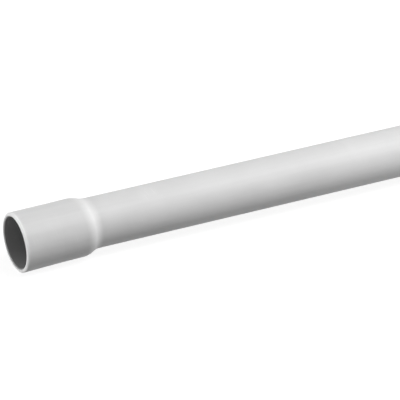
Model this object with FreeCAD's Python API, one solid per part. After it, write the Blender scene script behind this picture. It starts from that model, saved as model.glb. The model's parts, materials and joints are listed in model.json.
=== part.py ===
"""One length of rigid grey PVC electrical conduit, trade size 1, belled at one end.

The pipe is one extruded piece. One end was heated and pushed over a mandrel, which opened it
into a socket that takes the plain end of the next length. The socket narrows a little from its
mouth to a straight seat. Behind the seat the bell comes down to the pipe in a shoulder, a soft
step of two arcs outside and two inside: the pipe's wall thins along it as the bore opens out.

Frame: +X runs along the pipe from the mouth of the bell to the plain end, +Z is up, and the
origin is the centre of the bell's mouth. The pipe lies on its side. Sizes are in millimetres.
"""

import FreeCAD, Part
import math
import os

# Pipe
STOCK_LENGTH = 3048.0  # ten feet, from the mouth of the bell to the plain end
PIPE_DIAMETER = 33.40
PIPE_WALL = 3.38

# Bell
BELL_WALL = 2.65  # the pipe's wall, thinned as the end was opened out
SEAT_CLEARANCE = 0.08  # on the radius, round a pipe that is pushed home
MOUTH_FLARE = 0.14  # on the radius, from the seat out to the mouth
ENTRY_LENGTH = 26.0  # the flared part of the socket
SEAT_LENGTH = 15.8  # the straight part behind it
SHOULDER_LENGTH = 12.6
NECK_RADIUS = 15.0  # the concave arc outside, where the shoulder meets the pipe

# Edges of the two ends
RIM_ROUND = 1.5  # outside edge of the mouth, softened when it was heated
RIM_BREAK = 0.55  # inside edge of the mouth
SPIGOT_BEVEL_LENGTH = 1.5  # outside edge of the plain end, which leads it into a socket
SPIGOT_BEVEL_DEPTH = 0.6
SPIGOT_BREAK = 0.3  # inside edge of the plain end

# Radii and places that follow
PIPE_RADIUS = PIPE_DIAMETER / 2
BORE_RADIUS = PIPE_RADIUS - PIPE_WALL
SEAT_RADIUS = PIPE_RADIUS + SEAT_CLEARANCE
MOUTH_RADIUS = SEAT_RADIUS + MOUTH_FLARE
ENTRY_SLOPE = MOUTH_FLARE / ENTRY_LENGTH
SOCKET_DEPTH = ENTRY_LENGTH + SEAT_LENGTH
NECK_X = SOCKET_DEPTH + SHOULDER_LENGTH

LEVEL = math.pi / 2  # the direction of an arc's crown from its centre


def point(x, r):
    """A point of the half section, at x along the pipe and r out from its axis."""
    return FreeCAD.Vector(x, 0, r)


def polyline(*points):
    """Straight edges through the points, in order."""
    return [Part.LineSegment(a, b).toShape() for a, b in zip(points, points[1:])]


def arc(centre, radius, from_angle, to_angle):
    """An arc of the half section. Angles turn from +X towards +Z, in radians."""

    def at(angle):
        return centre + FreeCAD.Vector(radius * math.cos(angle), 0, radius * math.sin(angle))

    return Part.Arc(at(from_angle), at((from_angle + to_angle) / 2), at(to_angle)).toShape()


def shoulder(top, foot, foot_radius):
    """Two arcs that come down from top to foot, level at both and tangent where they meet.

    The arc at foot has foot_radius and its centre is above it. The length and the drop fix the
    sum of the two radii, so the arc at top, whose centre is below it, has the rest.
    """
    length = foot.x - top.x
    drop = top.z - foot.z
    radii = (length**2 + drop**2) / (2 * drop)
    top_radius = radii - foot_radius
    turn = math.asin(length / radii)
    return [
        arc(top - FreeCAD.Vector(0, 0, top_radius), top_radius, LEVEL, LEVEL - turn),
        arc(foot + FreeCAD.Vector(0, 0, foot_radius), foot_radius, -LEVEL - turn, -LEVEL),
    ]


def outside_edges(face_top, face_end):
    """The outer line of the wall, from the top of the mouth's face to that of the plain end's."""
    rim_centre = face_top + FreeCAD.Vector(RIM_ROUND, 0, 0)
    rim_top = rim_centre + FreeCAD.Vector(0, 0, RIM_ROUND)
    bell_seat = point(ENTRY_LENGTH, SEAT_RADIUS + BELL_WALL)
    bell_end = point(SOCKET_DEPTH, SEAT_RADIUS + BELL_WALL)
    neck = point(NECK_X, PIPE_RADIUS)
    bevel = point(STOCK_LENGTH - SPIGOT_BEVEL_LENGTH, PIPE_RADIUS)
    return [
        arc(rim_centre, RIM_ROUND, math.pi, LEVEL),
        *polyline(rim_top, bell_seat, bell_end),
        *shoulder(bell_end, neck, NECK_RADIUS),
        *polyline(neck, bevel, face_end),
    ]


def inside_edges(face_foot, face_end):
    """The inner line of the wall, from the foot of the mouth's face to that of the plain end's."""
    entry = point(RIM_BREAK, MOUTH_RADIUS - ENTRY_SLOPE * RIM_BREAK)
    seat = point(ENTRY_LENGTH, SEAT_RADIUS)
    seat_end = point(SOCKET_DEPTH, SEAT_RADIUS)
    neck = point(NECK_X, BORE_RADIUS)
    bore_end = point(STOCK_LENGTH - SPIGOT_BREAK, BORE_RADIUS)
    return [
        *polyline(face_foot, entry, seat, seat_end),
        *shoulder(seat_end, neck, NECK_RADIUS + PIPE_WALL),
        *polyline(neck, bore_end, face_end),
    ]


def half_section():
    """The wall of the pipe from mouth to plain end, as a closed wire above the axis."""
    mouth_foot = point(0, MOUTH_RADIUS + RIM_BREAK)
    mouth_top = point(0, MOUTH_RADIUS + BELL_WALL - ENTRY_SLOPE * RIM_ROUND - RIM_ROUND)
    spigot_foot = point(STOCK_LENGTH, BORE_RADIUS + SPIGOT_BREAK)
    spigot_top = point(STOCK_LENGTH, PIPE_RADIUS - SPIGOT_BEVEL_DEPTH)
    edges = [
        *outside_edges(mouth_top, spigot_top),
        *inside_edges(mouth_foot, spigot_foot),
        *polyline(mouth_foot, mouth_top),
        *polyline(spigot_foot, spigot_top),
    ]
    return Part.Wire(Part.__sortEdges__(edges))


def conduit_pipe():
    """The half section, turned once round the axis of the pipe."""
    section = Part.Face(half_section())
    return section.revolve(FreeCAD.Vector(0, 0, 0), FreeCAD.Vector(1, 0, 0), 360)


def main():
    """Writes the pipe to parts/conduit_pipe.step and prints what it came to."""
    os.makedirs("parts", exist_ok=True)
    pipe = conduit_pipe()
    pipe.exportStep("parts/conduit_pipe.step")
    print("conduit_pipe", pipe.ShapeType, "valid", pipe.isValid(), "mm3", round(pipe.Volume, 1))


main()
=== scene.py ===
"""The looks of one length of grey PVC electrical conduit, belled at one end.

The pipe is one moulded piece, so the scene has one piece for it: a fine surface of revolution
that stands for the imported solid, with the softened edges, the small errors of form and the
finish that such a pipe has. Round it are a pale floor, soft studio light and the camera.

Lengths are in metres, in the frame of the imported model: +X runs along the pipe from the mouth
of its bell, +Z is up.
"""

from __future__ import annotations

import json
import logging
import math
from dataclasses import dataclass
from enum import Enum

import bpy
import numpy as np
from mathutils import Matrix, Vector

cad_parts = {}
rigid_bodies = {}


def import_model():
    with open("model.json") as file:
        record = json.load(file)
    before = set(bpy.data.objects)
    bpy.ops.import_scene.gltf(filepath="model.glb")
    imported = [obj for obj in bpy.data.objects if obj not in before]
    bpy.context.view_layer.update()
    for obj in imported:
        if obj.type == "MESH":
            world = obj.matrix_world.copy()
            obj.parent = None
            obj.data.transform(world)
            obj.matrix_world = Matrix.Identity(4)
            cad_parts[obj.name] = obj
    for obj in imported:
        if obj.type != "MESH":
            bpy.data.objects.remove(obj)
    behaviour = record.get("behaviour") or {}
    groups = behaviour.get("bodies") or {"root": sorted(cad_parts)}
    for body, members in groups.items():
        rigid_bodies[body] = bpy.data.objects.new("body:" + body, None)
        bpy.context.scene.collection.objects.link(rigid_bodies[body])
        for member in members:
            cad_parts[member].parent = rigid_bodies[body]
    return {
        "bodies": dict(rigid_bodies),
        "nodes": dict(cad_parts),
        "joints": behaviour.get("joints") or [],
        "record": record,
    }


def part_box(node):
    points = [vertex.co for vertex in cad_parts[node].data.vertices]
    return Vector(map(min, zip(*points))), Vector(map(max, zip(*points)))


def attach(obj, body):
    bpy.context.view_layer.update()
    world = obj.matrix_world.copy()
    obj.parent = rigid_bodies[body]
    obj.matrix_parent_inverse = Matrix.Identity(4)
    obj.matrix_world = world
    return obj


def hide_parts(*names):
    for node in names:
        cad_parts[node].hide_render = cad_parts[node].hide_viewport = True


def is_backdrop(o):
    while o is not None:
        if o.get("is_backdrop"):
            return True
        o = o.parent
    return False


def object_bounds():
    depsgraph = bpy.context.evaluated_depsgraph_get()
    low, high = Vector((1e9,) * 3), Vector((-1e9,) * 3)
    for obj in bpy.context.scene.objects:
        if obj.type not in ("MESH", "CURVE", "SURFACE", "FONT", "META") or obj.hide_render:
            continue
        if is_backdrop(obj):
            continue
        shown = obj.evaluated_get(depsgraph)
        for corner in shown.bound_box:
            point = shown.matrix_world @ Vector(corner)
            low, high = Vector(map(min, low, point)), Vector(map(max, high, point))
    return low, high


LOG = logging.getLogger("conduit")
MM = 0.001
NOISE_SPAN = (0.3, 0.7)  # nearly all values of a noise lie between these
SAME_POINT = 1e-7  # points of the section that are nearer than this are one


class Region(Enum):
    """The stretches of the pipe's surface, by the finish that each takes."""

    OUTSIDE = 0
    CUT_FACE = 1
    BORE = 2


class Nodes:
    """A shader node tree with short calls for the nodes that the finishes use."""

    def __init__(self, tree: bpy.types.NodeTree) -> None:
        """Starts on an emptied tree.

        Args:
            tree: The node tree of a material, a world or a group.
        """
        self.tree = tree
        self.tree.nodes.clear()

    def add(self, kind: str, **settings: object) -> bpy.types.Node:
        """Adds a node and sets its properties.

        Args:
            kind: The node's type name, without the leading ShaderNode.
            settings: Properties of the node.

        Returns:
            The new node.
        """
        node = self.tree.nodes.new(kind if kind.startswith("Node") else f"ShaderNode{kind}")
        for name, value in settings.items():
            setattr(node, name, value)
        return node

    def feed(self, socket: bpy.types.NodeSocket, value: object) -> None:
        """Links a socket to an output, or sets its value.

        Args:
            socket: The input to feed.
            value: An output socket, a number or a tuple.
        """
        if isinstance(value, bpy.types.NodeSocket):
            self.tree.links.new(value, socket)
        else:
            socket.default_value = value

    def math(self, operation: str, a: object, b: object = 0.0,
             clamp: bool = False) -> bpy.types.NodeSocket:
        """One sum on numbers.

        Args:
            operation: The Math node's operation.
            a: The first term.
            b: The second term.
            clamp: Whether the result is held between 0 and 1.

        Returns:
            The result.
        """
        node = self.add("Math", operation=operation, use_clamp=clamp)
        self.feed(node.inputs[0], a)
        self.feed(node.inputs[1], b)
        return node.outputs[0]

    def remap(self, value: object, low: float, high: float, to_low: float = 0.0, to_high: float = 1.0,
              smooth: bool = False) -> bpy.types.NodeSocket:
        """Carries a value from one range to another, held at both ends.

        Args:
            value: The value to carry over.
            low: Where the range begins.
            high: Where the range ends.
            to_low: The result at low.
            to_high: The result at high.
            smooth: Whether the result eases in and out.

        Returns:
            The carried value.
        """
        node = self.add("MapRange", interpolation_type="SMOOTHSTEP" if smooth else "LINEAR")
        for socket, number in zip(node.inputs, (value, low, high, to_low, to_high)):
            self.feed(socket, number)
        return node.outputs[0]

    def noise(self, vector: object, scale: object, detail: float,
              roughness: float = 0.5) -> bpy.types.NodeSocket:
        """Smooth noise from 0 to 1.

        Args:
            vector: Where the noise is read.
            scale: Waves in each unit of the vector.
            detail: How many finer layers are added.
            roughness: How strong the finer layers are.

        Returns:
            The noise.
        """
        node = self.add("TexNoise", noise_dimensions="3D")
        values = {"Vector": vector, "Scale": scale, "Detail": detail, "Roughness": roughness}
        for name, value in values.items():
            self.feed(node.inputs[name], value)
        return node.outputs["Fac"]

    def split(self, vector: object) -> bpy.types.Node:
        """Splits a vector, and gives the node whose outputs are X, Y and Z."""
        node = self.add("SeparateXYZ")
        self.feed(node.inputs[0], vector)
        return node

    def join(self, x: object, y: object, z: object = 0.0) -> bpy.types.NodeSocket:
        """Joins three numbers to one vector.

        Args:
            x: Its part along X.
            y: Its part along Y.
            z: Its part along Z.

        Returns:
            The vector.
        """
        node = self.add("CombineXYZ")
        for socket, value in zip(node.inputs, (x, y, z)):
            self.feed(socket, value)
        return node.outputs[0]

    def stretch(self, vector: object, scale: tuple[float, float, float]) -> bpy.types.NodeSocket:
        """A vector scaled along each axis.

        Args:
            vector: The vector.
            scale: The factor along X, Y and Z.

        Returns:
            The scaled vector.
        """
        node = self.add("Mapping", vector_type="POINT")
        self.feed(node.inputs["Vector"], vector)
        self.feed(node.inputs["Scale"], scale)
        return node.outputs[0]

    def mix(self, factor: object, a: object, b: object) -> bpy.types.NodeSocket:
        """A mix of two colours.

        Args:
            factor: 0 for a, 1 for b.
            a: The first colour.
            b: The second colour.

        Returns:
            The mixed colour.
        """
        node = self.add("Mix", data_type="RGBA", blend_type="MIX")
        self.feed(node.inputs["Factor"], factor)
        self.feed(node.inputs[6], a)
        self.feed(node.inputs[7], b)
        return node.outputs[2]

    def place(self, group: bpy.types.NodeTree, **values: object) -> bpy.types.Node:
        """Places a node group and feeds its inputs.

        Args:
            group: The group.
            values: What its inputs get, with _ for a space in their names.

        Returns:
            The placed group.
        """
        node = self.add("Group", node_tree=group)
        for name, value in values.items():
            self.feed(node.inputs[name.replace("_", " ")], value)
        return node


@dataclass(frozen=True)
class Effect:
    """A surface effect that several finishes share, built once as a node group."""

    name: str
    inputs: tuple[tuple[str, str, object], ...]
    outputs: tuple[tuple[str, str], ...]

    def start(self) -> tuple[bpy.types.NodeTree, Nodes, bpy.types.Node, bpy.types.Node]:
        """Makes the empty group with its sockets.

        Returns:
            The group, its nodes, its input node and its output node.
        """
        group = bpy.data.node_groups.new(self.name, "ShaderNodeTree")
        for name, kind, value in self.inputs:
            socket = group.interface.new_socket(name, in_out="INPUT", socket_type=f"NodeSocket{kind}")
            if value is not None:
                socket.default_value = value
        for name, kind in self.outputs:
            group.interface.new_socket(name, in_out="OUTPUT", socket_type=f"NodeSocket{kind}")
        nodes = Nodes(group)
        return group, nodes, nodes.add("NodeGroupInput"), nodes.add("NodeGroupOutput")


@dataclass(frozen=True)
class DrawLines(Effect):
    """Fine lines along the pipe, which the die and the sizing sleeve leave in the skin.

    Among the fine lines lie coarse ones, coarse_share times as many to the metre. fine_height
    is the height of the fine ones where that of the coarse ones is 1.
    """

    name: str = "draw_lines"
    inputs: tuple = (("Vector", "Vector", None), ("Lines", "Float", 900.0), ("Run", "Float", 1.6))
    outputs: tuple = (("Height", "Float"), ("Tone", "Float"))
    coarse_share: float = 0.28
    fine_height: float = 0.4

    def build(self) -> bpy.types.NodeTree:
        """Builds noise that is fine round the pipe and very long along it.

        Height is the fine and the coarse lines added up. Tone is the coarse ones, from 0 to 1.

        Returns:
            The node group.
        """
        group, nodes, given, result = self.start()
        parts = nodes.split(given.outputs["Vector"])
        along = nodes.math("MULTIPLY", parts.outputs["X"], given.outputs["Run"])
        layers = []
        for share in (1.0, self.coarse_share):
            lines = nodes.math("MULTIPLY", given.outputs["Lines"], share)
            where = nodes.join(nodes.math("MULTIPLY", along, share),
                               nodes.math("MULTIPLY", parts.outputs["Y"], lines),
                               nodes.math("MULTIPLY", parts.outputs["Z"], lines))
            layers.append(nodes.noise(where, 1.0, detail=2.0))
        fine, coarse = layers
        height = nodes.math("ADD", nodes.math("MULTIPLY", fine, self.fine_height), coarse)
        nodes.feed(result.inputs["Height"], height)
        nodes.feed(result.inputs["Tone"], nodes.remap(coarse, *NOISE_SPAN))
        return group


@dataclass(frozen=True)
class ScratchSet:
    """One set of thin, nearly parallel scratches.

    rows is how many scratches could lie side by side in a metre, slant is how much they lean,
    reach is how many times in a metre a scratch starts and stops, and width is a share of the
    space between two rows. patches is how many patches of them a metre could hold, along X, Y
    and Z.
    """

    rows: float
    slant: float
    reach: float
    width: float
    patches: tuple[float, float, float]


@dataclass(frozen=True)
class Scuffs(Effect):
    """Thin scratches and rubbed patches from handling and from lying in a rack.

    A scratch sets in where its noise goes from the first of onset to the second, and row_step
    keeps the noises of two rows apart. A patch sets in where its noise is above patch_edge less
    edge_shift times Amount, and edge_slope is how sharply.
    """

    name: str = "scuffs"
    inputs: tuple = (("Vector", "Vector", None), ("Amount", "Float", 0.5), ("Radius", "Float", 0.0167))
    outputs: tuple = (("Mask", "Float"), ("Rub", "Float"))
    lengthways: ScratchSet = ScratchSet(rows=800.0, slant=0.06, reach=26.0, width=0.07,
                                        patches=(14.0, 55.0, 55.0))
    roundabout: ScratchSet = ScratchSet(rows=420.0, slant=0.22, reach=70.0, width=0.05,
                                        patches=(35.0, 30.0, 30.0))
    onset: tuple[float, float] = (0.58, 0.68)
    row_step: float = 90.0
    patch_edge: float = 0.78
    edge_shift: float = 0.3
    edge_slope: float = 8.0

    def scratches(self, nodes: Nodes, across: object, along: object,
                  marks: ScratchSet) -> bpy.types.NodeSocket:
        """Builds straight scratches: each row has its own chance, and starts and stops by a noise.

        A point lies in the row floor(v), with v = rows (across + slant along), and on the
        scratch where v is within width of the row's middle.

        Args:
            nodes: The group's nodes.
            across: The place square to the scratches, in metres.
            along: The place along them, in metres.
            marks: How the scratches lie.

        Returns:
            A mask, 1 on a scratch.
        """
        leant = nodes.math("ADD", across, nodes.math("MULTIPLY", along, marks.slant))
        place = nodes.math("MULTIPLY", leant, marks.rows)
        chance = nodes.add("TexWhiteNoise", noise_dimensions="1D")
        nodes.feed(chance.inputs["W"], nodes.math("FLOOR", place))
        where = nodes.join(nodes.math("MULTIPLY", along, marks.reach),
                           nodes.math("MULTIPLY", chance.outputs["Value"], self.row_step))
        present = nodes.remap(nodes.noise(where, 1.0, detail=1.0), *self.onset)
        off_middle = nodes.math("ABSOLUTE", nodes.math("SUBTRACT", nodes.math("FRACT", place), 0.5))
        on_line = nodes.remap(off_middle, 0.0, marks.width, 1.0, 0.0)
        return nodes.math("MULTIPLY", on_line, present)

    def build(self) -> bpy.types.NodeTree:
        """Builds scratches along the pipe and round it, kept only inside patches.

        The way round is the angle from the top times Radius, so its seam lies underneath. Rub
        is the patches themselves, softer and wider than the scratches.

        Returns:
            The node group.
        """
        group, nodes, given, result = self.start()
        vector = given.outputs["Vector"]
        parts = nodes.split(vector)
        way_along = parts.outputs["X"]
        angle = nodes.math("ARCTAN2", parts.outputs["Y"], parts.outputs["Z"])
        way_round = nodes.math("MULTIPLY", angle, given.outputs["Radius"])
        shift = nodes.math("MULTIPLY", given.outputs["Amount"], self.edge_shift)
        edge = nodes.math("SUBTRACT", self.patch_edge, shift)
        ways = ((self.lengthways, way_round, way_along), (self.roundabout, way_along, way_round))
        masks, patches = [], []
        for marks, across, along in ways:
            patch = nodes.noise(nodes.stretch(vector, marks.patches), 1.0, detail=2.0)
            above = nodes.math("SUBTRACT", patch, edge)
            inside = nodes.math("MULTIPLY", above, self.edge_slope, clamp=True)
            masks.append(nodes.math("MULTIPLY", self.scratches(nodes, across, along, marks), inside))
            patches.append(inside)
        nodes.feed(result.inputs["Mask"], nodes.math("ADD", *masks, clamp=True))
        nodes.feed(result.inputs["Rub"], nodes.math("ADD", *patches, clamp=True))
        return group


@dataclass(frozen=True)
class Flecks(Effect):
    """Specks of filler and pigment in the plastic, and its slow changes of tone.

    A speck is kept where its chance is above kept_above. speck_size is where it begins to fade
    and where it ends, from its middle, as shares of the space between two specks.
    """

    name: str = "flecks"
    inputs: tuple = (("Vector", "Vector", None), ("Specks", "Float", 1500.0), ("Cloud", "Float", 24.0))
    outputs: tuple = (("Speck", "Float"), ("Cloud", "Float"))
    kept_above: float = 0.8
    speck_size: tuple[float, float] = (0.08, 0.3)

    def build(self) -> bpy.types.NodeTree:
        """Builds round specks at scattered points, most of them left out, and a slow noise.

        Returns:
            The node group.
        """
        group, nodes, given, result = self.start()
        vector = given.outputs["Vector"]
        cells = nodes.add("TexVoronoi", feature="F1")
        nodes.feed(cells.inputs["Vector"], vector)
        nodes.feed(cells.inputs["Scale"], given.outputs["Specks"])
        chance = nodes.add("SeparateColor")
        nodes.feed(chance.inputs[0], cells.outputs["Color"])
        kept = nodes.math("GREATER_THAN", chance.outputs[0], self.kept_above)
        dot = nodes.remap(cells.outputs["Distance"], *self.speck_size, 1.0, 0.0)
        nodes.feed(result.inputs["Speck"], nodes.math("MULTIPLY", dot, kept))
        cloud = nodes.noise(vector, given.outputs["Cloud"], detail=4.0, roughness=0.55)
        nodes.feed(result.inputs["Cloud"], nodes.remap(cloud, *NOISE_SPAN))
        return group


@dataclass(frozen=True)
class Effects:
    """The shared effects, built once for every finish."""

    lines: bpy.types.NodeTree
    scuffs: bpy.types.NodeTree
    flecks: bpy.types.NodeTree

    @classmethod
    def build(cls) -> "Effects":
        """Builds the three node groups."""
        return cls(DrawLines().build(), Scuffs().build(), Flecks().build())


def grey(level: float) -> tuple[float, float, float, float]:
    """A neutral colour of one linear level."""
    return (level, level, level, 1.0)


@dataclass(frozen=True)
class Mark:
    """A mark on a finish: its linear tone, and how far it covers what is under it."""

    tone: float
    cover: float


@dataclass(frozen=True)
class Finish:
    """What every finish of the pipe has in common.

    tone is its linear tone, and tones are the two factors between which a noise moves it.
    relief is how deep its relief goes.
    """

    name: str
    tone: float
    tones: tuple[float, float]
    roughness: float
    relief: float
    specular: float = 0.2
    ior: float = 1.53

    def start(self) -> tuple[bpy.types.Material, Nodes, bpy.types.Node, bpy.types.NodeSocket]:
        """Makes the material with its shader and the coordinates that the effects read.

        Returns:
            The material, its nodes, its Principled shader and the object coordinates.
        """
        material = bpy.data.materials.new(self.name)
        material.use_nodes = True
        nodes = Nodes(material.node_tree)
        shader = nodes.add("BsdfPrincipled")
        shader.inputs["Specular IOR Level"].default_value = self.specular
        shader.inputs["IOR"].default_value = self.ior
        output = nodes.add("OutputMaterial")
        nodes.feed(output.inputs["Surface"], shader.outputs[0])
        where = nodes.add("TexCoord")
        return material, nodes, shader, where.outputs["Object"]

    def vary(self, nodes: Nodes, share: object) -> bpy.types.NodeSocket:
        """The finish's tone, moved by a share from the first of its factors to the second."""
        low, high = self.tones
        return nodes.mix(share, grey(self.tone * low), grey(self.tone * high))

    @staticmethod
    def lay(nodes: Nodes, under: object, mask: object, mark: Mark) -> bpy.types.NodeSocket:
        """A mark's tone laid over the colour under it, by its mask times its cover."""
        return nodes.mix(nodes.math("MULTIPLY", mask, mark.cover), under, grey(mark.tone))

    def emboss(self, nodes: Nodes, shader: bpy.types.Node, height: object) -> None:
        """Feeds a height, from 0 to 1 of the relief, into the shader's normal.

        Args:
            nodes: The material's nodes.
            shader: The Principled shader.
            height: The height.
        """
        bump = nodes.add("Bump")
        bump.inputs["Strength"].default_value = 1.0
        bump.inputs["Distance"].default_value = self.relief
        nodes.feed(bump.inputs["Height"], height)
        nodes.feed(shader.inputs["Normal"], bump.outputs[0])


@dataclass(frozen=True)
class DrawnSkin(Finish):
    """The outside: satin grey, drawn lengthways, with the bell smoothed by its forming heat."""

    name: str = "drawn_skin"
    tone: float = 0.56
    tones: tuple[float, float] = (0.96, 1.03)
    roughness: float = 0.45
    relief: float = 0.02 * MM
    lines: Mark = Mark(tone=0.616, cover=0.5)
    specks: Mark = Mark(tone=0.36, cover=0.22)
    rubs: Mark = Mark(tone=0.72, cover=0.16)
    scratches: Mark = Mark(tone=0.8, cover=0.55)
    # the tone of the ends' outside edges: wear, and a painted highlight on the mouth's rounded rim
    wear_and_highlight_tone: float = 0.88
    rub_dulls: float = 0.14
    heat_smooths: float = 0.03
    wear_dulls: float = 0.15
    heated_lines: float = 0.45
    scratch_depth: float = 0.8

    def build(self, effects: Effects) -> bpy.types.Material:
        """Builds the material.

        The marks lie over the tone one by one, and the edges of the two ends over them all, lighter
        from wear and from a painted highlight on the mouth's rounded rim. Rubbing and wear make the
        skin rougher, and heat makes it smoother and its draw lines lower.

        Args:
            effects: The shared effects.

        Returns:
            The material.
        """
        material, nodes, shader, where = self.start()
        lines = nodes.place(effects.lines, Vector=where, Lines=900.0, Run=1.6)
        scuffs = nodes.place(effects.scuffs, Vector=where, Amount=0.6, Radius=0.0167)
        flecks = nodes.place(effects.flecks, Vector=where, Specks=1500.0, Cloud=24.0)
        formed = nodes.add("Attribute", attribute_name="formed").outputs["Fac"]
        worn = nodes.add("Attribute", attribute_name="worn").outputs["Fac"]
        scratch, rub = scuffs.outputs["Mask"], scuffs.outputs["Rub"]

        base = self.vary(nodes, flecks.outputs["Cloud"])
        drawn = self.lay(nodes, base, lines.outputs["Tone"], self.lines)
        specked = self.lay(nodes, drawn, flecks.outputs["Speck"], self.specks)
        rubbed = self.lay(nodes, specked, rub, self.rubs)
        scratched = self.lay(nodes, rubbed, scratch, self.scratches)
        # the ends' outside edges go lighter: wear, and a painted highlight on the mouth's rim
        nodes.feed(shader.inputs["Base Color"], nodes.mix(worn, scratched, grey(self.wear_and_highlight_tone)))

        dulled = nodes.remap(rub, 0.0, 1.0, self.roughness, self.roughness + self.rub_dulls)
        heated = nodes.math("SUBTRACT", dulled, nodes.math("MULTIPLY", formed, self.heat_smooths))
        rough = nodes.math("ADD", heated, nodes.math("MULTIPLY", worn, self.wear_dulls))
        nodes.feed(shader.inputs["Roughness"], rough)

        cut_in = nodes.math("MULTIPLY", scratch, -self.scratch_depth)
        line_height = nodes.remap(formed, 0.0, 1.0, 1.0, self.heated_lines)
        drawn_height = nodes.math("MULTIPLY", lines.outputs["Height"], line_height)
        self.emboss(nodes, shader, nodes.math("ADD", drawn_height, cut_in))
        return material


@dataclass(frozen=True)
class CutFace(Finish):
    """The two end faces: dull, with the marks of the saw, lighter than the skin partly as cut plastic
    and partly as a painted highlight on the faces.

    bands is how many of those marks a metre could hold, along X, Y and Z.
    """

    name: str = "cut_face"
    # lighter than the skin, partly the cut plastic's grey and partly a painted highlight on the end
    # faces
    tone: float = 0.82
    tones: tuple[float, float] = (0.9, 1.1)
    roughness: float = 0.65
    relief: float = 0.03 * MM
    clouds: Mark = Mark(tone=0.82, cover=0.4)
    specks: Mark = Mark(tone=0.5, cover=0.25)
    bands: tuple[float, float, float] = (0.0, 140.0, 2600.0)
    roughest: float = 0.75

    def build(self, effects: Effects) -> bpy.types.Material:
        """Builds the material: saw marks are near-straight bands across the face.

        Args:
            effects: The shared effects.

        Returns:
            The material.
        """
        material, nodes, shader, where = self.start()
        flecks = nodes.place(effects.flecks, Vector=where, Specks=1800.0, Cloud=60.0)
        saw = nodes.noise(nodes.stretch(where, self.bands), 1.0, detail=3.0)
        toned = self.lay(nodes, self.vary(nodes, saw), flecks.outputs["Cloud"], self.clouds)
        specked = self.lay(nodes, toned, flecks.outputs["Speck"], self.specks)
        nodes.feed(shader.inputs["Base Color"], specked)
        rough = nodes.remap(saw, *NOISE_SPAN, self.roughness, self.roughest)
        nodes.feed(shader.inputs["Roughness"], rough)
        self.emboss(nodes, shader, saw)
        return material


@dataclass(frozen=True)
class BoreSkin(Finish):
    """The inside: smooth from the mandrel, with dust settled along the bottom. Its tone is darker
    than the outside's as painted shade in the bore.

    The dust starts at the height dust_top and is full at dust_full. dust_shares are the least
    and the most of it that a slow noise leaves.
    """

    name: str = "bore_skin"
    # darker than the outside's tone: painted shade in the bore
    tone: float = 0.38
    tones: tuple[float, float] = (0.94, 1.04)
    roughness: float = 0.5
    relief: float = 0.01 * MM
    lines: Mark = Mark(tone=0.4104, cover=0.5)
    scratches: Mark = Mark(tone=0.7, cover=0.4)
    dust: Mark = Mark(tone=0.42, cover=0.35)
    dust_top: float = -6.0 * MM
    dust_full: float = -13.0 * MM
    dust_shares: tuple[float, float] = (0.3, 0.9)
    dusty_roughness: float = 0.7

    def build(self, effects: Effects) -> bpy.types.Material:
        """Builds the material.

        Args:
            effects: The shared effects.

        Returns:
            The material.
        """
        material, nodes, shader, where = self.start()
        lines = nodes.place(effects.lines, Vector=where, Lines=700.0, Run=2.5)
        flecks = nodes.place(effects.flecks, Vector=where, Specks=900.0, Cloud=40.0)
        scuffs = nodes.place(effects.scuffs, Vector=where, Amount=0.3, Radius=0.0133)
        height = nodes.split(where).outputs["Z"]
        low = nodes.remap(height, self.dust_top, self.dust_full, 0.0, 1.0, smooth=True)
        patchy = nodes.remap(flecks.outputs["Cloud"], 0.0, 1.0, *self.dust_shares)
        settled = nodes.math("MULTIPLY", low, patchy)
        base = self.vary(nodes, flecks.outputs["Cloud"])
        drawn = self.lay(nodes, base, lines.outputs["Tone"], self.lines)
        scratched = self.lay(nodes, drawn, scuffs.outputs["Mask"], self.scratches)
        nodes.feed(shader.inputs["Base Color"], self.lay(nodes, scratched, settled, self.dust))
        rough = nodes.remap(settled, 0.0, 1.0, self.roughness, self.dusty_roughness)
        nodes.feed(shader.inputs["Roughness"], rough)
        self.emboss(nodes, shader, lines.outputs["Height"])
        return material


@dataclass(frozen=True)
class PipeSizes:
    """The pipe's sizes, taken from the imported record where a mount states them."""

    length: float
    barrel_radius: float
    bore_radius: float
    seat_radius: float
    seat_start: float
    seat_end: float
    neck: float
    bell_wall: float = 2.65 * MM
    mouth_flare: float = 0.14 * MM
    neck_radius: float = 15.0 * MM
    rim_round: float = 1.5 * MM
    rim_break: float = 0.55 * MM
    bevel_length: float = 1.5 * MM
    bevel_depth: float = 0.6 * MM
    spigot_break: float = 0.3 * MM

    @classmethod
    def from_frame(cls, frame: dict) -> "PipeSizes":
        """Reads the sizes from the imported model.


        Returns:
            The sizes.
        """
        mounts = {m["name"]: m for m in frame["record"]["mounts"]}
        seat, raceway = mounts["socket_seat"], mounts["raceway"]
        half_seat = seat["dims"]["length_mm"] * MM / 2
        half_raceway = raceway["dims"]["length_mm"] * MM / 2
        return cls(
            length=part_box("conduit_pipe")[1].x,
            barrel_radius=mounts["barrel"]["dims"]["r_mm"] * MM,
            bore_radius=raceway["dims"]["r_mm"] * MM,
            seat_radius=seat["dims"]["r_mm"] * MM,
            seat_start=seat["pos_m"][0] - half_seat,
            seat_end=seat["pos_m"][0] + half_seat,
            neck=raceway["pos_m"][0] - half_raceway,
        )


@dataclass
class Stretch:
    """A run of points of the pipe's section, with the finish that the surface from it takes."""

    points: np.ndarray
    region: Region


def ease(share: np.ndarray) -> np.ndarray:
    """A smooth step: a share t, held between 0 and 1, becomes t^2 (3 - 2 t)."""
    t = np.clip(share, 0.0, 1.0)
    return t * t * (3 - 2 * t)


def straight(start: tuple[float, float], end: tuple[float, float], rows: int) -> np.ndarray:
    """Points on a straight line, closer together near both ends.

    With t from 0 to 1, the share of the way is (1 - cos(pi t)) / 2.

    Args:
        start: First point, along the pipe and out from its axis.
        end: Last point.
        rows: How many points, with both ends.

    Returns:
        The points, one to a row.
    """
    share = (1 - np.cos(np.pi * np.linspace(0.0, 1.0, rows))) / 2
    return np.outer(1 - share, start) + np.outer(share, end)


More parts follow.
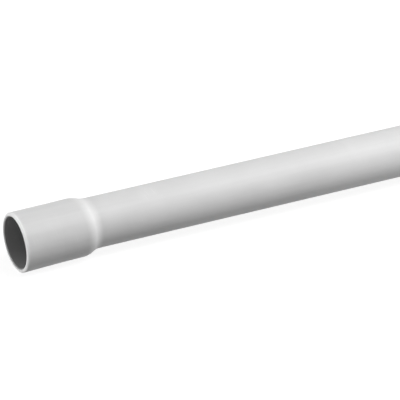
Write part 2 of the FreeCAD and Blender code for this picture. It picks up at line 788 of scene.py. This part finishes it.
def turn(centre: tuple[float, float], radius: float, start: float, end: float,
         rows: int) -> np.ndarray:
    """Points on an arc: the centre plus the radius times the cosine and sine of the angle.

    Args:
        centre: The arc's centre, along the pipe and out from its axis.
        radius: The arc's radius.
        start: First angle, from +X towards outwards, in radians.
        end: Last angle.
        rows: How many points, with both ends.

    Returns:
        The points, one to a row.
    """
    angle = np.linspace(start, end, rows)
    return np.stack([centre[0] + radius * np.cos(angle), centre[1] + radius * np.sin(angle)], 1)


def shoulder(top: tuple[float, float], foot: tuple[float, float], foot_radius: float,
             rows: int) -> np.ndarray:
    """Points on two tangent arcs that come down from top to foot and are level at both.

    The length and the drop fix the sum of the two radii, and the arc at the foot has its own.

    Args:
        top: Where the shoulder starts.
        foot: Where it ends.
        foot_radius: Radius of the arc at the foot.
        rows: How many points each arc has.

    Returns:
        The points, one to a row.
    """
    length, drop = foot[0] - top[0], top[1] - foot[1]
    radii = (length**2 + drop**2) / (2 * drop)
    top_radius, angle, level = radii - foot_radius, math.asin(length / radii), math.pi / 2
    first = turn((top[0], top[1] - top_radius), top_radius, level, level - angle, rows)
    second = turn((foot[0], foot[1] + foot_radius), foot_radius, -level - angle, -level, rows)
    return np.concatenate([first, second[1:]])


@dataclass
class BelledPipe:
    """The pipe with its bell, as one closed surface.

    The errors of form are small. The bell's axis rises by bell_lean from the mouth to the neck
    and steps up by neck_step about the neck. The mouth is wider by mouth_oval, the shoulder
    shifts along the pipe by up to shoulder_skew, and the ends are out of square by saw_lean.
    """

    sizes: PipeSizes
    name: str = "belled_pipe"
    around: int = 192
    edge_round: float = 0.12 * MM
    bell_lean: float = 1.15 * MM
    neck_step: float = 0.31 * MM
    step_past_neck: float = 3.0 * MM
    mouth_oval: float = 0.35 * MM
    saw_lean: float = 0.8 * MM
    saw_fade: float = 12.0 * MM
    shoulder_skew: float = 3.6 * MM
    skew_past_seat: float = 2.0 * MM
    skew_fade: float = 9.0 * MM
    skew_turn: float = math.radians(52.0)
    heat_past_neck: float = 14.0 * MM
    heat_fade: float = 20.0 * MM
    # share of the edge lightening, wear and painted highlight, that the plain end gets
    spigot_wear_and_highlight: float = 0.6

    def section(self) -> list[Stretch]:
        """The wall's closed section, in order from the mouth along the outside and back inside.

        Each sharp edge is rounded: its corner is left out, and the points on both sides of it
        are set back by e or by a share of it.

        Returns:
            The stretches, each starting where the one before it ends.
        """
        s = self.sizes
        e = self.edge_round
        level = math.pi / 2
        slope = s.mouth_flare / s.seat_start
        mouth = s.seat_radius + s.mouth_flare
        bell = s.seat_radius + s.bell_wall
        rim_top = mouth + s.bell_wall - slope * s.rim_round
        outside = [
            turn((s.rim_round, rim_top - s.rim_round), s.rim_round, math.pi, level, 12),
            straight((s.rim_round, rim_top), (s.seat_start, bell), 16),
            straight((s.seat_start, bell), (s.seat_end, bell), 10),
            shoulder((s.seat_end, bell), (s.neck, s.barrel_radius), s.neck_radius, 16),
            self.barrel_line(s.neck, s.length - s.bevel_length - e, s.barrel_radius),
            straight((s.length - s.bevel_length, s.barrel_radius - e * 0.2),
                     (s.length - e, s.barrel_radius - s.bevel_depth + e * 0.4), 6),
        ]
        spigot = [straight((s.length, s.barrel_radius - s.bevel_depth - e),
                           (s.length, s.bore_radius + s.spigot_break + e), 10)]
        inside = [
            straight((s.length - e, s.bore_radius + s.spigot_break - e),
                     (s.length - s.spigot_break, s.bore_radius + e * 0.3), 4),
            self.barrel_line(s.neck, s.length - s.spigot_break - e, s.bore_radius)[::-1],
            shoulder((s.seat_end, s.seat_radius), (s.neck, s.bore_radius),
                     s.neck_radius + s.barrel_radius - s.bore_radius, 14)[::-1],
            straight((s.seat_end, s.seat_radius), (s.seat_start, s.seat_radius), 8),
            straight((s.seat_start, s.seat_radius),
                     (s.rim_break + e, mouth - slope * s.rim_break), 14),
            straight((s.rim_break, mouth - slope * s.rim_break + e * 0.3),
                     (e, mouth + s.rim_break - e * 0.3), 4),
        ]
        mouth_face = [straight((0.0, mouth + s.rim_break + e), (0.0, rim_top - s.rim_round - e), 8)]
        return [
            *(Stretch(points, Region.OUTSIDE) for points in outside),
            *(Stretch(points, Region.CUT_FACE) for points in spigot),
            *(Stretch(points, Region.BORE) for points in inside),
            *(Stretch(points, Region.CUT_FACE) for points in mouth_face),
        ]

    @staticmethod
    def barrel_line(start: float, end: float, radius: float, rows: int = 64) -> np.ndarray:
        """Points along the barrel, close together at the neck and further apart along it.

        With t from 0 to 1, the share of the way is t squared, and the last few points close up.

        Args:
            start: Where the line starts.
            end: Where it ends.
            radius: Its distance from the axis.
            rows: How many points it has.

        Returns:
            The points, one to a row.
        """
        t = np.linspace(0.0, 1.0, rows) ** 2
        near_end = 1 - np.array([0.01, 0.003, 0.001, 0.0003])
        t = np.sort(np.concatenate([t, near_end]))
        return np.stack([start + (end - start) * t, np.full(len(t), radius)], 1)

    def axis_height(self, x: np.ndarray) -> np.ndarray:
        """How far the pipe's axis lies above the straight one, at each x.

        The bell was formed a little askew. From the centre of the mouth its axis rises evenly to
        the neck. There it steps up to the barrel's axis, by a smooth step about the neck. The
        barrel's axis comes down evenly to the centre of the plain end.

        Args:
            x: Places along the pipe.

        Returns:
            The heights.
        """
        s = self.sizes
        bell = self.bell_lean * x / s.neck
        at_neck = self.bell_lean + self.neck_step
        barrel = at_neck * (s.length - x) / (s.length - s.neck)
        step = ease((x - s.seat_end) / (s.neck + self.step_past_neck - s.seat_end))
        return bell * (1 - step) + barrel * step

    def surface(self) -> tuple[np.ndarray, np.ndarray, np.ndarray]:
        """The section carried round the axis.

        A point is (x, r cos a, r sin a + axis height), for the angle a round the pipe. To r is
        added the oval of the mouth, (2 + cos 2a) / 3, which fades towards the seat. To x is
        added the lean of the saw cuts, -sin a / 2 at the mouth and -(1 + cos a) / 4 at the
        plain end, which fades within saw_fade of them. To x is also added the skew of the
        shoulder, 3/8 - ((1 + cos(a - skew_turn)) / 2)^2, which fades before and after it.

        Returns:
            The points as rows by columns by 3, the section's points, and the region of each row.
        """
        stretches = self.section()
        profile = np.concatenate([p.points for p in stretches])
        regions = np.concatenate([np.full(len(p.points), p.region.value) for p in stretches])
        again = np.all(np.abs(profile - np.roll(profile, 1, axis=0)) < SAME_POINT, axis=1)
        profile, regions = profile[~again], regions[~again]
        x, r = profile[:, :1], profile[:, 1:]
        angle = np.linspace(0.0, 2 * np.pi, self.around, endpoint=False)[None, :]
        to_seat = np.clip(1 - x / self.sizes.seat_start, 0.0, 1.0)
        radius = r + self.mouth_oval * to_seat * (2 + np.cos(2 * angle)) / 3

        from_spigot = self.sizes.length - x
        at_mouth = np.clip(1 - x / self.saw_fade, 0.0, 1.0) * -np.sin(angle) / 2
        at_spigot = np.clip(1 - from_spigot / self.saw_fade, 0.0, 1.0) * (1 + np.cos(angle)) / 4
        off_shoulder = (x - self.sizes.seat_end - self.skew_past_seat) / self.skew_fade
        skew = np.exp(-(off_shoulder**2)) * (0.375 - ((1 + np.cos(angle - self.skew_turn)) / 2) ** 2)
        along = x + self.saw_lean * (at_mouth - at_spigot) + self.shoulder_skew * skew

        across = radius * np.cos(angle)
        above = radius * np.sin(angle) + self.axis_height(x)
        return np.stack([along, across, above], 2), profile, regions

    def build(self) -> bpy.types.Object:
        """Makes the mesh: each square of the grid joins two rows and two columns, both closed.

        Returns:
            The object, at the origin.
        """
        points, profile, regions = self.surface()
        rows, columns = points.shape[:2]
        row, column = np.meshgrid(np.arange(rows), np.arange(columns), indexing="ij")
        next_row, next_column = (row + 1) % rows, (column + 1) % columns
        square = [row * columns + column, row * columns + next_column,
                  next_row * columns + next_column, next_row * columns + column]
        quads = np.stack([corner.ravel() for corner in square], 1)
        mesh = bpy.data.meshes.new(self.name)
        mesh.from_pydata(points.reshape(-1, 3), [], quads)
        # a square has its first row's finish, but the cut's where either of its rows is of a cut
        cut = Region.CUT_FACE.value
        meets_cut = (regions == cut) | (np.roll(regions, -1) == cut)
        of_square = np.where(meets_cut, cut, regions)
        mesh.polygons.foreach_set("material_index", np.repeat(of_square, columns).astype(np.int32))
        mesh.polygons.foreach_set("use_smooth", np.ones(len(quads), bool))
        self.add_masks(mesh, profile, columns)
        mesh.update()
        mesh.validate()
        piece = bpy.data.objects.new(self.name, mesh)
        bpy.context.scene.collection.objects.link(piece)
        return piece

    def add_masks(self, mesh: bpy.types.Mesh, profile: np.ndarray, columns: int) -> None:
        """Stores for the finishes where the plastic was heated, and where edges wear and get a painted
        highlight.

        formed is 1 on the bell and eases to 0 over heat_fade, up to heat_past_neck. worn
        is highest at the outside edges of the two ends and falls off within a few millimetres. It
        lightens them for wear and, at the mouth's rim most of all, as a painted highlight.

        Args:
            mesh: The pipe's mesh.
            profile: The section's points, one to a row of the grid.
            columns: How many points are in each row of the grid.
        """
        s = self.sizes
        x = profile[:, 0]
        formed = ease((s.neck + self.heat_past_neck - x) / self.heat_fade)
        # at the mouth's rim this lightening is mostly a painted highlight
        at_rim = np.exp(-((x / s.rim_round) ** 4))
        at_spigot = np.exp(-(((s.length - x) / s.bevel_length) ** 4))
        worn = at_rim + self.spigot_wear_and_highlight * at_spigot
        for name, values in (("formed", formed), ("worn", worn)):
            attribute = mesh.attributes.new(name, "FLOAT", "POINT")
            attribute.data.foreach_set("value", np.repeat(values, columns).astype(np.float32))

    def dress(self, piece: bpy.types.Object, effects: Effects) -> None:
        """Gives the piece its finishes, in the order of the regions.

        Args:
            piece: The pipe's object.
            effects: The shared effects.
        """
        finishes = {
            Region.OUTSIDE: DrawnSkin(),
            Region.CUT_FACE: CutFace(),
            Region.BORE: BoreSkin(),
        }
        for region in Region:
            piece.data.materials.append(finishes[region].build(effects))

    def declare(self, piece: bpy.types.Object) -> None:
        """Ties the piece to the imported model."""
        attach(piece, "root")
        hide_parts("conduit_pipe")


@dataclass(frozen=True)
class Lamp:
    """A lamp, placed by the direction in which it hangs from what it lights.

    The azimuth turns from the camera's side, -Y, towards the plain end, +X. Both angles are in
    degrees.
    """

    name: str
    azimuth: float
    elevation: float

    def towards(self) -> Vector:
        """The direction from what is lit to the lamp."""
        around, above = math.radians(self.azimuth), math.radians(self.elevation)
        flat = math.cos(above)
        return Vector((flat * math.sin(around), -flat * math.cos(around), math.sin(above)))

    def hang(self, data: bpy.types.Light, place: Vector) -> bpy.types.Object:
        """Puts a light in the scene, facing back along its direction.

        Args:
            data: The light.
            place: Where it hangs.

        Returns:
            The light's object.
        """
        piece = bpy.data.objects.new(self.name, data)
        bpy.context.scene.collection.objects.link(piece)
        piece.location = place
        piece.rotation_euler = self.towards().to_track_quat("Z", "Y").to_euler()
        return piece


@dataclass(frozen=True)
class Softbox(Lamp):
    """A square lamp near the pipe, which faces the point of its axis at x = along."""

    along: float
    distance: float
    size: float
    watts: float

    def build(self) -> bpy.types.Object:
        """Makes the lamp.

        Returns:
            The lamp's object.
        """
        data = bpy.data.lights.new(self.name, "AREA")
        data.shape = "SQUARE"
        data.size = self.size
        data.energy = self.watts
        return self.hang(data, Vector((self.along, 0.0, 0.0)) + self.towards() * self.distance)


@dataclass(frozen=True)
class EvenLight(Lamp):
    """A soft light as strong at one end of the pipe as at the other, spread over some degrees.

    It shines from far away in its direction, so distance only says where its object is.
    """

    spread: float
    strength: float
    distance: float = 5.0

    def build(self) -> bpy.types.Object:
        """Makes the light.

        Returns:
            The light's object.
        """
        data = bpy.data.lights.new(self.name, "SUN")
        data.angle = math.radians(self.spread)
        data.energy = self.strength
        return self.hang(data, self.towards() * self.distance)


LAMPS = (
    Softbox("key", azimuth=60.0, elevation=54.0, along=0.14, distance=1.45, size=0.9, watts=12.0),
    Softbox("far", azimuth=22.0, elevation=67.0, along=2.3, distance=1.41, size=1.0, watts=18.0),
    Softbox("mouth", azimuth=260.0, elevation=5.0, along=0.14, distance=1.8, size=0.3, watts=15.5),
    Softbox("fill", azimuth=14.0, elevation=6.0, along=0.4, distance=0.41, size=0.12, watts=0.45),
    EvenLight("top", azimuth=30.0, elevation=60.0, spread=30.0, strength=1.0),
    EvenLight("end", azimuth=90.0, elevation=16.0, spread=25.0, strength=1.05),
)


@dataclass
class Studio:
    """The pale floor and the white surround.

    white_lift is what makes the floor white where it is seen, and world_level is the surround's
    even light on the pipe.
    """

    floor_level: float
    floor_half: float = 60.0
    floor_tone: float = 0.22
    white_lift: float = 0.9
    world_level: float = 0.26

    @staticmethod
    def seen(nodes: Nodes) -> bpy.types.NodeSocket:
        """1 for rays that show the surround to the camera, straight, mirrored or through glass."""
        path = nodes.add("LightPath")
        straight_on, mirrored = path.outputs["Is Camera Ray"], path.outputs["Is Glossy Ray"]
        either = nodes.math("MAXIMUM", straight_on, mirrored)
        return nodes.math("MAXIMUM", either, path.outputs["Is Transmission Ray"])

    def build_floor(self) -> bpy.types.Object:
        """Makes the floor: pale, lifted to white where it is seen, and shaded by the pipe.

        Returns:
            The floor's object.
        """
        half, level = self.floor_half, self.floor_level
        mesh = bpy.data.meshes.new("floor")
        sides = ((-half, -half), (half, -half), (half, half), (-half, half))
        mesh.from_pydata([(x, y, level) for x, y in sides], [], [(0, 1, 2, 3)])
        floor = bpy.data.objects.new("floor", mesh)
        bpy.context.scene.collection.objects.link(floor)
        material = bpy.data.materials.new("pale_floor")
        material.use_nodes = True
        nodes = Nodes(material.node_tree)
        diffuse = nodes.add("BsdfDiffuse")
        diffuse.inputs["Color"].default_value = grey(self.floor_tone)
        lift = nodes.add("Emission")
        lift.inputs["Color"].default_value = grey(1.0)
        nodes.feed(lift.inputs["Strength"], nodes.math("MULTIPLY", self.seen(nodes), self.white_lift))
        both = nodes.add("AddShader")
        nodes.feed(both.inputs[0], diffuse.outputs[0])
        nodes.feed(both.inputs[1], lift.outputs[0])
        nodes.feed(nodes.add("OutputMaterial").inputs["Surface"], both.outputs[0])
        mesh.materials.append(material)
        floor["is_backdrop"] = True
        return floor

    def build_world(self) -> None:
        """Makes the surround: white where it is seen, and a low even light on the pipe."""
        world = bpy.data.worlds.new("studio")
        world.use_nodes = True
        bpy.context.scene.world = world
        nodes = Nodes(world.node_tree)
        background = nodes.add("Background")
        background.inputs["Color"].default_value = grey(1.0)
        strength = nodes.remap(self.seen(nodes), 0.0, 1.0, self.world_level, 1.0)
        nodes.feed(background.inputs["Strength"], strength)
        nodes.feed(nodes.add("OutputWorld").inputs["Surface"], background.outputs[0])


@dataclass
class Viewpoint:
    """The camera, placed as the photograph was taken.

    The pipe's axis is level in the photograph's room, so two angles and a distance give the
    view: how far the camera looks down, how far it has gone round from square-on, and how far
    off it stands from the point that is in the middle of the picture.
    """

    axis_height: float
    looks_down: float = math.radians(27.47)
    turned: float = math.radians(26.9)
    distance: float = 2.315
    aim_right: float = 0.1174
    aim_up: float = 0.02594
    sensor: float = 36.0
    lens: float = 328.7
    sees_to: float = 200.0

    def build(self) -> bpy.types.Object:
        """Makes the camera and gives it to the scene.

        right is level and square to the view, ahead is the view itself, and up is square to
        both. aim_right and aim_up go along them from the barrel's axis at the mouth.

        Returns:
            The camera's object.
        """
        level_ahead = Vector((math.sin(self.turned), math.cos(self.turned), 0.0))
        right = Vector((math.cos(self.turned), -math.sin(self.turned), 0.0))
        down, flat = math.sin(self.looks_down), math.cos(self.looks_down)
        ahead = level_ahead * flat - Vector((0.0, 0.0, down))
        up = level_ahead * down + Vector((0.0, 0.0, flat))
        aim = Vector((0.0, 0.0, self.axis_height)) + right * self.aim_right + up * self.aim_up
        data = bpy.data.cameras.new("camera")
        data.sensor_width = self.sensor
        data.lens = self.lens
        data.clip_end = self.sees_to
        camera = bpy.data.objects.new("camera", data)
        bpy.context.scene.collection.objects.link(camera)
        turn_to = Matrix((right, up, -ahead)).transposed().to_4x4()
        camera.matrix_world = Matrix.Translation(aim - ahead * self.distance) @ turn_to
        bpy.context.scene.camera = camera
        return camera


def corners(box: tuple[Vector, Vector]) -> list[list[float]]:
    """A box's two corners as plain lists."""
    return [list(corner) for corner in box]


def main() -> None:
    """Builds the pipe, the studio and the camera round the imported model."""
    logging.basicConfig(level=logging.INFO, format="%(name)s: %(message)s")
    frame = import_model()
    packed_box = corners(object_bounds())

    effects = Effects.build()
    pipe = BelledPipe(PipeSizes.from_frame(frame))
    piece = pipe.build()
    pipe.dress(piece, effects)
    pipe.declare(piece)
    LOG.info("%s: %d faces", piece.name, len(piece.data.polygons))

    dressed_box = corners(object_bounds())
    floor_level = min(packed_box[0][2], dressed_box[0][2])
    studio = Studio(floor_level=floor_level)
    LOG.info("%s at %.5f m", studio.build_floor().name, floor_level)
    studio.build_world()
    for lamp in LAMPS:
        LOG.info("lamp %s", lamp.build().name)

    camera = Viewpoint(axis_height=pipe.bell_lean + pipe.neck_step).build()
    LOG.info("%s: lens %.1f mm", camera.name, camera.data.lens)
    bpy.context.scene.view_settings.view_transform = "Standard"


if __name__ == "__main__":
    main()
